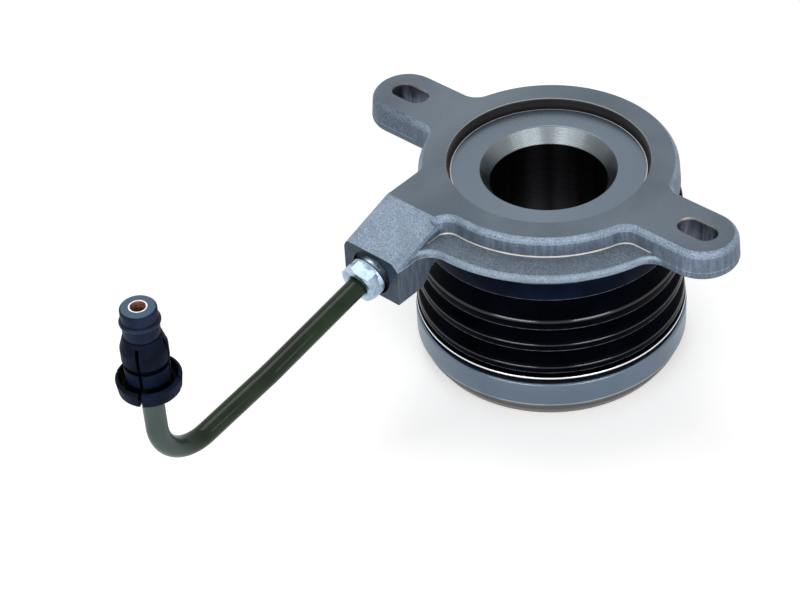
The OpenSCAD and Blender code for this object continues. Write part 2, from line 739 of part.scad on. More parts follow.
module release_ring()
    color([0.42, 0.38, 0.34]) difference() {
        turned(rounded([
            [inner_land - inner_ring_w, -release_top, 0.5],
            [inner_land, -release_top, 0.4],
            [inner_land, -release_depth, 0.6],
            [release_r, -release_depth, 0.5],
            [release_r - 0.3, -release_depth - 0.4 * release_h, 2],
            [face_r, -face_depth, 1],
            [opening_r + 3, -face_depth, 1.5],
            [opening_r, -face_depth + 0.5 * release_h, 1],
            [opening_r, -release_depth, 0.6],
            [inner_land - inner_ring_w, -release_depth + 0.8, 0.6]]));
        race();
    }

module bearing_balls()
    color([0.8, 0.81, 0.82])
        for (k = [0 : ball_count - 1])
            rotate([0, 0, 360 * k / ball_count]) translate([pitch_r, 0, -ball_depth]) sphere(r = ball_r);

module bearing_cage() {
    half_t = 0.35 * ball_r;
    color([0.75, 0.7, 0.55]) difference() {
        ring(pitch_r - half_t, pitch_r + half_t, -ball_depth - ball_r - 0.9, -ball_depth + 0.4 * ball_r);
        for (k = [0 : ball_count - 1])
            rotate([0, 0, 360 * k / ball_count]) translate([pitch_r, 0, -ball_depth])
                sphere(r = ball_r + 0.1);
    }
}

module bearing_seal()
    color([0.1, 0.1, 0.11])
        ring(inner_land - 3, seal_seat_r - seat_fit, -bearing_depth - seal_t, -bearing_depth);

module tube_nut() {
    hole_r = pipe_r + 0.2;
    corner_r = nut_af / sqrt(3);
    thread_r = port_r - seat_fit;
    thread_len = pipe_in - flare_len;
    at_port() color([0.78, 0.83, 0.88]) difference() {
        union() {
            translate([0, 0, nut_gap]) intersection() {
                rotate([0, 0, nut_turn]) cylinder(r = corner_r, h = nut_h, $fn = 6);
                turned([
                    [0, 0],
                    [nut_af / 2 - 0.2, 0],
                    [corner_r + 0.1, nut_chamfer],
                    [corner_r + 0.1, nut_h - nut_chamfer],
                    [nut_af / 2 - 0.2, nut_h],
                    [0, nut_h]]);
            }
            translate([0, 0, nut_gap]) turned([
                [0, past],
                [washer_r - 0.3, past],
                [washer_r, -0.4 * washer_t],
                [washer_r - 0.3, -washer_t],
                [0, -washer_t]]);
            translate([0, 0, -thread_len]) cylinder(r = thread_r, h = thread_len + nut_gap + past);
        }
        translate([0, 0, -port_len]) cylinder(r = hole_r, h = port_len + nut_gap + nut_h + past);
        translate([0, 0, nut_gap + nut_h - 0.5]) cylinder(r1 = hole_r, r2 = hole_r + 1, h = past);
    }
}

// Bend that starts along local Z and turns towards local Y
module bend(r, radius, turn)
    translate([0, radius, 0]) rotate([90, 0, -90])
        rotate_extrude(angle = turn) translate([radius, 0]) circle(r = r);

// Frame at the end of such a bend
module after_bend(radius, turn)
    translate([0, radius, 0]) rotate([-turn, 0, 0]) translate([0, -radius, 0]) children();

// Frame at the start of the pipe's upright end
module at_upright()
    translate([0, 0, run_1]) after_bend(set_r, set_turn)
        translate([0, 0, run_2]) after_bend(bend_r, bend_turn) children();

// Round bar along the pipe's middle line, reaching past its two ends by a given length. The straight
// stretches run a little way into the bends, which are thicker by a hair, so that they join cleanly.
module pipe_line(r, more) {
    translate([0, 0, -pipe_in - more]) cylinder(r = r, h = pipe_in + more + run_1 + lap);
    translate([0, 0, run_1]) {
        bend(r + swell, set_r, set_turn);
        after_bend(set_r, set_turn) {
            translate([0, 0, -lap]) cylinder(r = r, h = run_2 + 2 * lap);
            translate([0, 0, run_2]) bend(r + swell, bend_r, bend_turn);
        }
    }
    at_upright() translate([0, 0, -lap]) cylinder(r = r, h = run_3 + more + lap);
}

module fluid_pipe() {
    flare_r = port_r - 0.4;
    color([0.16, 0.2, 0.13]) at_port() difference() {
        union() {
            pipe_line(pipe_r, 0);
            turned([
                [0, -pipe_in],
                [pipe_r, -pipe_in],
                [flare_r, flare_len / 2 - pipe_in],
                [flare_r, 0.8 * flare_len - pipe_in],
                [pipe_r - seam, flare_len - pipe_in],
                [0, flare_len - pipe_in]]);
        }
        pipe_line(pipe_bore_d / 2, past);
        // Narrow tip that shows in the connector's nose
        at_upright() ring(tip_r, pipe_r + past, run_3 - tip_len, run_3 + past);
    }
}

// Frame of the connector: its local Z points up along the pipe's upright end
module at_connector() translate([boss_x, corner_2.x, connector_z]) children();

module connector_nose() {
    hole = pipe_r + seat_fit;
    core = collet_bore - seat_fit;
    groove_r = plug_ring_r - plug_ring_d;
    shoulder = collet_h + neck_l;
    color([0.17, 0.2, 0.26]) at_connector() turned(rounded([
        [hole, 1.5, 0.2],
        [core, 1.5, 0.4],
        [core, collet_h, 0],
        [nose_r, collet_h, 0.3],
        [nose_r + 0.1, shoulder, 0.3],
        [groove_r, shoulder, 0],
        [groove_r, shoulder + plug_ring_d, 0],
        [nose_r, shoulder + plug_ring_d, 0.3],
        [nose_r, nose_top - 0.05, 0.7],
        [tip_r + seat_fit, nose_top - 0.05, 0.1],
        [tip_r + seat_fit, nose_top - tip_len + seat_fit, 0],
        [hole, nose_top - tip_len + seat_fit, 0]]));
}

module connector_o_ring()
    color([0.06, 0.07, 0.09]) at_connector() translate([0, 0, ring_z])
        rotate_extrude() translate([plug_ring_r - plug_ring_d / 2 + seat_fit, 0])
            circle(d = plug_ring_d - 2 * seat_fit);

module connector_collet() {
    throat = 0.56 * collet_h;
    cone = 0.78 * collet_h;
    dish = collar_flange_h - dish_depth;
    rim_r = collar_flange_r - 1;
    tip = nose_r + 0.15;
    color([0.1, 0.13, 0.19]) at_connector() difference() {
        turned(rounded([
            [collet_bore, 0, 0.2],
            [collar_flange_r - 0.5, 0, 0.6],
            [collar_flange_r, collar_flange_h - 1, 0.8],
            [rim_r, collar_flange_h, 0.5],
            [rim_r - 0.5, dish, 0.5],
            [collet_r - 0.3, dish, 0.5],
            [collet_r - 0.2, throat - collet_groove_h, 0.2],
            [collet_r - collet_groove_d, throat - collet_groove_h, 0.2],
            [collet_r - collet_groove_d, throat, 0.2],
            [collet_r, throat, 0.3],
            [collet_r, cone, 1.5],
            [tip, collet_h - 0.05, 0.4],
            [collet_bore, collet_h - 0.05, 0.2]]));
        for (k = [0, 1])
            rotate([0, 0, collet_turn + 90 * k])
                translate([-2 * collar_flange_r, -collet_slot_w / 2, -past])
                    cube([4 * collar_flange_r, collet_slot_w, collet_h - 1.4 + past]);
    }
}

housing();
guide_sleeve();
sleeve_o_ring();
stop_ring();
piston();
piston_seal();
guide_band();
spring_seat();
preload_spring();
dust_boot();
boot_retaining_ring();
bearing_carrier();
carrier_clip();
bearing_outer_ring();
release_ring();
bearing_balls();
bearing_cage();
bearing_seal();
tube_nut();
fluid_pipe();
connector_nose();
connector_o_ring();
connector_collet();
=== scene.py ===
"""Looks of a concentric slave cylinder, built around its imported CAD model.

The CAD frame's origin is the centre of the mounting face, +Z points out of that face along the bore axis, and
the pipe leaves towards -Y. Lengths are in millimetres unless a comment says metres.
"""

import math

import bmesh
import bpy
from mathutils import Matrix, Vector


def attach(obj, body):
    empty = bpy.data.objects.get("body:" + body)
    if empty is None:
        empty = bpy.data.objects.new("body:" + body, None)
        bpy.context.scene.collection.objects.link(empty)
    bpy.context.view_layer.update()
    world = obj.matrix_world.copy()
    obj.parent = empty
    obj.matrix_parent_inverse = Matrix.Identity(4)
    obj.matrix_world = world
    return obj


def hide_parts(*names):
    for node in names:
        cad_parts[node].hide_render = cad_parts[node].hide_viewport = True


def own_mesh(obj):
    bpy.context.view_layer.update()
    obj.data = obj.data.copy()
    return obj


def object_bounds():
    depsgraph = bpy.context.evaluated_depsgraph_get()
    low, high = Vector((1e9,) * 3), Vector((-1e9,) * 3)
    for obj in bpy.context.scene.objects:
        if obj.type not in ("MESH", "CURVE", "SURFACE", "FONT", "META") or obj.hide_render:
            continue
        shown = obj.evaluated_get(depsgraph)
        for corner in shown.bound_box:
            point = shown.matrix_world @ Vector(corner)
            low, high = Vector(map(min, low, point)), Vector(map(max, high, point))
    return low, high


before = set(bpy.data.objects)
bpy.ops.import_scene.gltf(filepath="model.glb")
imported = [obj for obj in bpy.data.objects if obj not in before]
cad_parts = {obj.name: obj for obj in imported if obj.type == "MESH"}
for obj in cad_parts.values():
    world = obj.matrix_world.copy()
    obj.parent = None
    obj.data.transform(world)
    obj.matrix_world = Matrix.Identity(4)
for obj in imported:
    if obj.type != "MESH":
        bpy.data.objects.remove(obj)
cad_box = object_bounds()
MM = 0.001
WHITE = (1, 1, 1, 1)

# Camera, fitted to points of the photograph; angles in degrees
CAMERA_AT = (364.48, -439.48, 431.43)
CAMERA_AZIMUTH = 44.23
CAMERA_ELEVATION = 40.19
CAMERA_ROLL = -3.99
LENS = 111.64
SENSOR_WIDTH = 36.0

# Surroundings, in metres
FLOOR_HALF = 4.0
FLOOR_GAP = 0.00002
FLOOR_LIFT = 0.4
WORLD_LIGHT = 0.45

# Soft boxes: name, degrees to the right of the camera, elevation, distance and size in metres, watts
SOFT_BOXES = (
    ("left", -42, 26, 0.9, (0.8, 0.05), 1.2),
    ("right", 34, 26, 0.9, (0.8, 0.05), 1.2),
    ("front", -4, 26, 0.9, (1.2, 0.12), 0.9),
    ("low_left", -32, 0, 0.9, (0.5, 0.08), 1.7),
    ("low_right", 26, 0, 0.9, (0.46, 0.08), 1.7),
    ("top", -160, 70, 1.0, (0.5, 0.5), 2.4),
)

# Places on the casting, as the CAD model has them
FACE_EDGE = -0.06
RECESS_R = 29.3
RECESS_EDGE = 0.4
SLOT_X = 53.0
SLOT_HALF = (6.3, 3.7)
SLOT_RIM = -0.8
LEDGE_TOP = -6.0
LEDGE_R = 46.3
LEDGE_RIM = (-8.3, -5.7)
BURR = (-5.9, -5.4)
EAR_SIDE = -10.8
EAR_START = 42.0
EAR_SEAM = (-6.55, -6.25)
# Span in x of the painted shade that falls off over the left ear
EAR_SHADE_SPAN = (-34.0, -50.0)
EAR_NECK = (-50.0, -28.0)
BOSS_RIGHT = -6.5
BOSS_END = -58.5
BOSS_SEAM = (-8.45, -8.1)
ROLL_END = (-8.0, -41.4, 0)
ROLL_END_R = 2.6
SPOT_R = 6.8
SPOT_DEPTH = 4.0

# Guide sleeve
SLEEVE_TOP = -3.2
SLEEVE_RIM = (28.21, 28.51)
LEAD_IN_R = 20.0
LEAD_IN_END = -7.7
BORE_R = 17.1

# Boot, spring and bearing
COLLAR_R = 38.8
COLLAR_TOP = -14.4
COLLAR_END = -21.0
HUB_R = 36.63
BOOT_WALL = 1.1
BOOT_END = -48.3
VALLEY_R = 35.8
VALLEY_DROP = 1.2
VALLEY_H = 0.7
CREST_R = (39.2, 39.6, 40.0)
CREST_END = (-31.59, -39.24, -47.4)
CREST_H = 2.4
FOOT_R = 38.7
RETAINER_LINE = (-49.38, -48.82)
OUTER_RING_LINE = (-59.1, -58.85)

# Roundings of the boot's outline
COLLAR_ROUND = 0.6
LIP_ROUND = 0.5
VALLEY_ROUND = 0.9
CREST_ROUND = 4.5
HUB_ROUND = 0.3
FOOT_ROUND = 0.2
SEAM_ROUND = 0.1

# Pipe and plug
PIPE_X = -16.9
PIPE_BORE_R = 2.05
PORT = (PIPE_X, 0, -13.0)
UPRIGHT_Y = -142.3
UPRIGHT_LOW = -10.0
TIP_Z = 29.5
PLUG_AXIS = (PIPE_X, UPRIGHT_Y, 0)
COLLET_GROOVE = (12.23, 13.83)
COLLET_GROOVE_R = 5.1
COLLET_DISH = (5.9, 7.6)
COLLAR_RIM = 8.03

# Sockets of the Mix node that carry colours
MIX_SHARE = 0
MIX_A = 6
MIX_B = 7
MIX_COLOUR = 2

# Settings of materials; slopes are the upward part of the surface's normal
FROM_Z_LINE = (1, 1, 0)
FROM_Y_LINE = (1, 0, 1)
NOISE_LOW = 0.3
NOISE_HIGH = 0.7
LATHE_GLEAM = {"anisotropic": 0.4, "anisotropic_rotation": 0.25}
RUBBER_GLEAM = {"specular_ior_level": 0.1}
LEVEL_SLOPE = 0.98
WALL_SLOPE = 0.36
UNDER_SLOPE = -0.5
PLUG_END_SLOPE = 0.9
EAR_SEAM_SHARE = 0.45
EAR_NECK_SHARE = 0.6
MACHINED_GLOSS = 0.16
CREST_SLOPE = (0.26, 0.41)
CREST_GLOSS = 0.85
BLUE_GLEAM = (0.4, 0.5, 0.9, 1.0)

# Settings of meshes: weld distance in metres, sharp angles in degrees, steps of curves
WELD = 2e-6
SPRING_SHARP = 32
BOOT_SHARP = 50
BOOT_SEGMENTS = 192
ROUND_STEPS = 5
ROUND_SHARE = 0.49


def srgb(red, green, blue):
    """A colour written as it looks on screen, 0 to 255, as linear RGBA."""
    def linear(v):
        v /= 255
        return v / 12.92 if v <= 0.04045 else ((v + 0.055) / 1.055) ** 2.4
    return (linear(red), linear(green), linear(blue), 1.0)


class Finish:
    """A node material. Its methods add nodes and return their output sockets.

    Places are in millimetres and the scale of a noise is per millimetre. Masks go from 0 to 1, and soft is
    half the width of a mask's edge.
    """

    def __init__(self, name, **constants):
        self.material = bpy.data.materials.new(name)
        self.material.use_nodes = True
        self.tree = self.material.node_tree
        self.tree.nodes.clear()
        self.shader = self.node("BsdfPrincipled")
        output = self.node("OutputMaterial")
        self.tree.links.new(self.shader.outputs[0], output.inputs["Surface"])
        for key, value in constants.items():
            self.shader.inputs[key.replace("_", " ").title().replace("Ior", "IOR")].default_value = value
        coordinates = self.node("TexCoord")
        metres = coordinates.outputs["Object"]
        self.place = self.node("VectorMath", {0: metres, "Scale": 1 / MM}, operation="SCALE").outputs[0]
        self.x, self.y, self.z = self.node("SeparateXYZ", {0: self.place}).outputs
        self.normal = self.node("SeparateXYZ", {0: coordinates.outputs["Normal"]}).outputs
        self.radius = self.distance((0, 0, 0), FROM_Z_LINE)

    def node(self, kind, inputs=(), **settings):
        made = self.tree.nodes.new("ShaderNode" + kind)
        for key, value in settings.items():
            setattr(made, key, value)
        for key, value in dict(inputs).items():
            self.feed(made.inputs[key], value)
        return made

    def feed(self, socket, value):
        if isinstance(value, bpy.types.NodeSocket):
            self.tree.links.new(value, socket)
        else:
            socket.default_value = value

    def set(self, name, value):
        self.feed(self.shader.inputs[name], value)

    def math(self, operation, a, b=0.0):
        return self.node("Math", {0: a, 1: b}, operation=operation).outputs[0]

    def size(self, value):
        return self.math("ABSOLUTE", value)

    def both(self, *masks):
        """Product of masks and shares."""
        product = masks[0]
        for mask in masks[1:]:
            product = self.math("MULTIPLY", product, mask)
        return product

    def either(self, *masks):
        """Largest of masks."""
        largest = masks[0]
        for mask in masks[1:]:
            largest = self.math("MAXIMUM", largest, mask)
        return largest

    def inverse(self, mask):
        return self.math("SUBTRACT", 1.0, mask)

    def span(self, value, start, end, low=0.0, high=1.0):
        """Smooth step of a value from low at start to high at end."""
        ends = {"From Min": start, "From Max": end, "To Min": low, "To Max": high}
        made = self.node("MapRange", {"Value": value, **ends}, interpolation_type="SMOOTHSTEP")
        return made.outputs["Result"]

    def vary(self, noise, low, high):
        """Noise spread over the values from low to high."""
        return self.span(noise, NOISE_LOW, NOISE_HIGH, low, high)

    def above(self, value, level, soft):
        return self.span(value, level - soft, level + soft)

    def below(self, value, level, soft):
        return self.span(value, level - soft, level + soft, 1.0, 0.0)

    def band(self, value, low, high, soft):
        return self.both(self.above(value, low, soft), self.below(value, high, soft))

    def stretched(self, x, y, z):
        return self.node("VectorMath", {0: self.place, 1: (x, y, z)}, operation="MULTIPLY").outputs[0]

    def noise(self, scale, detail=2.0, place=None, rough=0.5):
        settings = {"Scale": scale, "Detail": detail, "Roughness": rough}
        return self.node("TexNoise", {"Vector": place or self.place, **settings}).outputs[0]

    def mix(self, share, a, b):
        """Colour a where share is 0, and b where it is 1."""
        made = self.node("Mix", {MIX_SHARE: share, MIX_A: a, MIX_B: b}, data_type="RGBA")
        return made.outputs[MIX_COLOUR]

    def tint(self, value, dark, light, start=NOISE_LOW, end=NOISE_HIGH):
        """Colour that goes from dark to light as a value goes from start to end."""
        return self.mix(self.span(value, start, end), dark, light)

    def bump(self, height, depth, base=None):
        """Normal of a relief whose heights from 0 to 1 stand for a depth."""
        inputs = {"Strength": 1.0, "Distance": depth * MM, "Height": height}
        if base is not None:
            inputs["Normal"] = base
        return self.node("Bump", inputs).outputs[0]

    def rings(self, pitch, detail=2.0):
        """Fine lathe marks around the axis: noise along the radius and the height alone."""
        line = self.node("CombineXYZ", {0: self.radius, 1: self.z})
        return self.noise(1 / pitch, detail, line.outputs[0])

    def around(self, scale):
        """Noise that changes only from one side of the bore axis to the next."""
        flat = self.stretched(1, 1, 0)
        side = self.node("VectorMath", {0: flat}, operation="NORMALIZE").outputs[0]
        return self.noise(scale, place=side)

    def distance(self, middle, across):
        """Distance from a line through a place; across is 0 for the axis that the line follows, else 1."""
        off = self.node("VectorMath", {0: self.place, 1: middle}, operation="SUBTRACT").outputs[0]
        off = self.node("VectorMath", {0: off, 1: across}, operation="MULTIPLY").outputs[0]
        return self.node("VectorMath", {0: off}, operation="LENGTH").outputs["Value"]

    def along_lathe_marks(self):
        """Stretches highlights across marks that run around the Z axis."""
        self.set("Tangent", self.node("Tangent", direction_type="RADIAL", axis="Z").outputs[0])


def dress(finish, *names):
    for name in names:
        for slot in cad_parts[name].material_slots:
            slot.material = finish.material


# Materials of the casting and the guide sleeve

def cast_skin(f, grain, mottle, streaks, level):
    """Blasted skin with painted light and shade by which way it faces: lighter on rolls, slopes and the ledge
    rim, darker on walls, level parts and undersides, and painted shade over one ear.
    """
    slope = f.normal[2]
    ledge_rim = f.both(
        f.above(f.x, BOSS_RIGHT + 2, 1.0),
        f.below(f.y, EAR_SIDE - 2, 0.8),
        f.above(f.radius, LEDGE_R - 1.2, 0.3),
        f.band(f.z, *LEDGE_RIM, 0.3),
    )
    near_roll_end = f.below(f.distance(ROLL_END, FROM_Z_LINE), ROLL_END_R, 0.6)
    roll_end = f.both(near_roll_end, f.above(f.z, LEDGE_TOP + 2, 0.5))
    # Painted shade on walls; the ledge rim and the roll's end are kept out of it.
    wall = f.both(f.below(f.size(slope), WALL_SLOPE, 0.34), f.inverse(ledge_rim), f.inverse(roll_end))
    wall_shade = f.tint(grain, srgb(60, 71, 85), srgb(98, 111, 127))
    wall_shade = f.mix(f.span(streaks, 0.35, 0.7, 0.0, 0.5), wall_shade, srgb(122, 135, 151))
    # Painted highlight on the rounded ledge rim.
    rim_highlight_tone = f.tint(grain, srgb(98, 112, 126), srgb(150, 165, 181))
    # Painted shade that falls off over the left ear, on all but level parts.
    ear_falloff_shade = f.span(f.x, *EAR_SHADE_SPAN, 0.0, 0.75)
    ear_shade_tone = f.tint(grain, srgb(44, 56, 70), srgb(104, 118, 134), 0.35, 0.65)

    # Painted light and shade by facing: rolls and slopes lighter, level parts darker.
    skin = f.tint(grain, srgb(92, 106, 122), srgb(160, 177, 195))
    skin = f.mix(level, skin, f.tint(grain, srgb(72, 83, 94), srgb(128, 141, 154)))
    skin = f.mix(wall, skin, wall_shade)
    skin = f.mix(f.both(ledge_rim, f.inverse(level)), skin, rim_highlight_tone)
    skin = f.mix(f.span(mottle, 0.4, 0.7, 0.0, 0.3), skin, srgb(84, 97, 112))
    skin = f.mix(f.both(ear_falloff_shade, f.inverse(level)), skin, ear_shade_tone)
    # Painted shade on the undersides.
    return f.mix(f.below(slope, UNDER_SLOPE, 0.2), skin, srgb(48, 56, 66))


def cast_seams(f, skin, mottle, streaks, level):
    """Light burr in the corner above the ledge, and parting lines along the boss and the ears."""
    burr = f.both(
        f.above(f.x, BOSS_RIGHT, 1.0),
        f.below(f.y, EAR_SIDE + 2, 1.0),
        f.below(f.radius, LEDGE_R, 0.5),
        f.band(f.z, *BURR, 0.05),
    )
    boss_side = f.both(f.above(f.x, BOSS_RIGHT - 0.6, 0.05), f.below(f.y, -LEDGE_R, 0.4))
    boss_seam = f.both(boss_side, f.band(f.z, *BOSS_SEAM, 0.08))
    on_ears = f.above(f.size(f.x), EAR_START, 1.0)
    ear_seam = f.both(on_ears, f.band(f.z, *EAR_SEAM, 0.1), f.inverse(level), EAR_SEAM_SHARE)
    parting = f.either(boss_seam, ear_seam)

    skin = f.mix(f.both(burr, f.span(mottle, 0.3, 0.6, 0.7, 1.0)), skin, srgb(250, 242, 232))
    return f.mix(f.both(parting, f.vary(streaks, 0.35, 0.9)), skin, srgb(172, 186, 200))


def machined_parts(f, skin, streaks, tool, face):
    """Milled face, boss end with painted shade in its spot face, slots, and the recess with painted shade on
    its wall and a bright broken edge.
    """
    milled = f.tint(f.noise(0.035, detail=3.0), srgb(87, 98, 109), srgb(101, 113, 124), 0.35, 0.65)
    milled = f.mix(f.span(tool, 0.35, 0.7, 0.0, 0.25), milled, srgb(78, 87, 97))
    milled = f.mix(f.both(f.band(f.x, *EAR_NECK, 7.0), EAR_NECK_SHARE), milled, srgb(114, 125, 137))

    end = f.below(f.y, BOSS_END + 0.03, 0.02)
    end_tone = f.tint(f.noise(0.25), srgb(38, 51, 63), srgb(53, 68, 81))
    # Painted shade, near black, in the spot face around the port.
    in_spot = f.below(f.distance(PORT, FROM_Y_LINE), SPOT_R + 0.1, 0.05)
    spot = f.both(in_spot, f.below(f.y, BOSS_END + SPOT_DEPTH, 0.5), f.inverse(end))

    sunk = f.below(f.z, -0.02, 0.01)
    off_slot = f.math("SUBTRACT", f.size(f.x), SLOT_X)
    slot_length = f.below(f.size(off_slot), SLOT_HALF[0] + 0.05, 0.03)
    slot_width = f.below(f.size(f.y), SLOT_HALF[1] + 0.05, 0.03)
    slots = f.both(slot_length, slot_width, sunk)
    slot_tone = f.tint(streaks, srgb(66, 72, 85), srgb(98, 104, 119))
    slot_tone = f.mix(f.above(f.z, SLOT_RIM, 0.2), slot_tone, srgb(228, 220, 210))

    edge_middle = RECESS_R + RECESS_EDGE / 2
    # Painted shade on the recess wall.
    recess = f.both(f.below(f.radius, edge_middle, 0.02), sunk)
    recess_shade = f.tint(tool, srgb(46, 44, 45), srgb(70, 67, 67))
    edge = f.both(f.band(f.radius, edge_middle, RECESS_R + RECESS_EDGE, 0.02), sunk)

    colour = f.mix(face, skin, milled)
    colour = f.mix(end, colour, end_tone)
    colour = f.mix(spot, colour, srgb(20, 25, 33))
    colour = f.mix(slots, colour, slot_tone)
    colour = f.mix(recess, colour, recess_shade)
    colour = f.mix(edge, colour, srgb(150, 151, 148))
    return colour, f.either(face, end, recess, slots)


def casting():
    """Blasted aluminium casting with burrs and seams, machined on its face, boss end, slots and recess."""
    f = Finish("cast_aluminium", metallic=0.7, specular_ior_level=0.5)
    grain = f.noise(2.6, detail=3.0, rough=0.7)
    mottle = f.noise(0.16, detail=3.0)
    streaks = f.noise(1.1, place=f.stretched(1, 1, 0.12))
    tool = f.rings(0.12)
    level = f.above(f.normal[2], LEVEL_SLOPE, 0.012)
    face = f.above(f.z, FACE_EDGE, 0.03)
    skin = cast_skin(f, grain, mottle, streaks, level)
    skin = cast_seams(f, skin, mottle, streaks, level)
    colour, machined = machined_parts(f, skin, streaks, tool, face)
    f.set("Base Color", colour)
    f.set("Roughness", f.math("SUBTRACT", f.vary(grain, 0.42, 0.6), f.both(machined, MACHINED_GLOSS)))
    pits = f.both(f.math("SUBTRACT", grain, 0.5), f.inverse(machined))
    tool_marks = f.bump(f.both(tool, face), depth=0.004)
    f.set("Normal", f.bump(pits, depth=0.12, base=tool_marks))
    return f


def turned_sleeve():
    """Turned steel: a satin flange with a painted highlight on its rim, a chamfer with painted reflection
    streaks, and a dark bore.
    """
    f = Finish("turned_steel", metallic=1.0, **LATHE_GLEAM)
    marks = f.rings(0.08, detail=3.0)
    flange = f.tint(marks, srgb(104, 116, 127), srgb(114, 127, 139))
    chamfer = f.tint(marks, srgb(97, 105, 110), srgb(115, 123, 127))
    lighter_patches = f.tint(marks, srgb(118, 124, 126), srgb(138, 144, 146))
    # Painted reflection streaks: lighter sectors around the axis on the chamfer.
    chamfer = f.mix(f.span(f.around(2.4), 0.42, 0.62, 0.0, 0.6), chamfer, lighter_patches)
    bore = f.tint(f.around(3.0), srgb(40, 38, 42), srgb(74, 71, 76))
    lead_in = f.both(f.below(f.radius, LEAD_IN_R - 0.1, 0.12), f.above(f.z, LEAD_IN_END - 0.1, 0.1))
    # Painted highlight: a white, non-metallic line on the flange's rounded rim.
    rim = f.both(f.band(f.radius, *SLEEVE_RIM, 0.04), f.above(f.z, SLEEVE_TOP - 0.5, 0.1))
    deep = f.both(f.below(f.radius, BORE_R + 0.3, 0.1), f.below(f.z, LEAD_IN_END - 0.05, 0.1))
    colour = f.mix(lead_in, flange, chamfer)
    colour = f.mix(rim, colour, srgb(252, 252, 252))
    f.set("Base Color", f.mix(deep, colour, bore))
    f.set("Metallic", f.inverse(rim))
    f.set("Roughness", f.vary(marks, 0.24, 0.32))
    f.set("Normal", f.bump(marks, depth=0.001))
    f.along_lathe_marks()
    return f


# Materials of the moving group

def lathe_steel(name, dark, light, roughness):
    """Ground or turned steel with marks around the axis and a faint cloudy tone."""
    f = Finish(name, metallic=1.0, **LATHE_GLEAM)
    marks = f.rings(0.1, detail=3.0)
    cloud = f.noise(0.06)
    turned = f.tint(marks, dark, light)
    f.colour = f.mix(f.vary(cloud, 0.0, 0.5), turned, f.tint(cloud, dark, light))
    f.set("Base Color", f.colour)
    f.set("Roughness", f.vary(marks, roughness - 0.06, roughness + 0.06))
    f.set("Normal", f.bump(marks, depth=0.004))
    f.along_lathe_marks()
    return f


def bright_ring():
    """Bright sheet ring whose two cut edges are blackened."""
    f = lathe_steel("bright_steel", srgb(228, 231, 234), srgb(250, 251, 252), roughness=0.24)
    middle = f.band(f.z, *RETAINER_LINE, 0.06)
    f.set("Base Color", f.mix(middle, srgb(20, 23, 30), f.colour))
    return f


def ground_ring():
    """Satin outer ring with a light line where its lower edge was broken."""
    f = lathe_steel("bearing_steel", srgb(94, 107, 122), srgb(112, 126, 142), roughness=0.34)
    line = f.band(f.z, *OUTER_RING_LINE, 0.06)
    lighter_patches = f.both(line, f.span(f.around(3.0), 0.35, 0.6, 0.3, 0.9))
    f.set("Base Color", f.mix(lighter_patches, f.colour, srgb(176, 190, 204)))
    return f


def boot_rubber():
    """Black rubber with a blue cast, glossy on the crests' roundings, with painted grey glint lines along
    their edges.
    """
    f = Finish("boot_rubber", specular_ior_level=0.025, specular_tint=BLUE_GLEAM, coat_roughness=0.15)
    bloom = f.noise(0.12, detail=3.0)
    grain = f.noise(5.0)
    edge_glint = f.node("Attribute", attribute_name="edge_glint").outputs["Fac"]
    collar = f.above(f.z, COLLAR_END + 0.3, 0.2)
    glint_strength = f.span(f.noise(0.5, detail=3.0, place=f.stretched(1, 1, 3)), 0.3, 0.65, 0.3, 1.0)
    skin = f.tint(bloom, srgb(1, 1, 2), srgb(2, 3, 7))
    skin = f.mix(collar, skin, f.tint(bloom, srgb(4, 9, 20), srgb(9, 18, 35)))
    # Painted reflections: grey glint lines along the crests' edges, broken up by noise.
    f.set("Base Color", f.mix(f.both(edge_glint, glint_strength), skin, srgb(112, 120, 134)))
    f.set("Coat Weight", f.both(f.band(f.normal[2], *CREST_SLOPE, 0.04), CREST_GLOSS))
    f.set("Roughness", f.vary(bloom, 0.12, 0.2))
    f.set("Normal", f.bump(grain, depth=0.004))
    return f


def moulded(name, dark, light, roughness, **constants):
    """Moulded plastic or rubber with a fine spark texture and a cloudy tone."""
    f = Finish(name, **constants)
    cloud = f.noise(0.2, detail=3.0)
    grain = f.noise(4.0)
    f.colour = f.tint(cloud, dark, light)
    f.set("Base Color", f.colour)
    f.set("Roughness", f.vary(grain, roughness - 0.06, roughness + 0.08))
    f.set("Normal", f.bump(grain, depth=0.012))
    return f


def plain_steel(name, dark, light, roughness):
    """Steel with a cloudy tone and fine scratches."""
    f = Finish(name, metallic=1.0)
    cloud = f.noise(0.3, detail=3.0)
    scratches = f.noise(2.0, detail=3.0, place=f.stretched(1, 0.15, 1))
    f.set("Base Color", f.tint(cloud, dark, light))
    f.set("Roughness", f.vary(scratches, roughness - 0.06, roughness + 0.08))
    f.set("Normal", f.bump(scratches, depth=0.003))
    return f


# Materials of the pipe and its ends

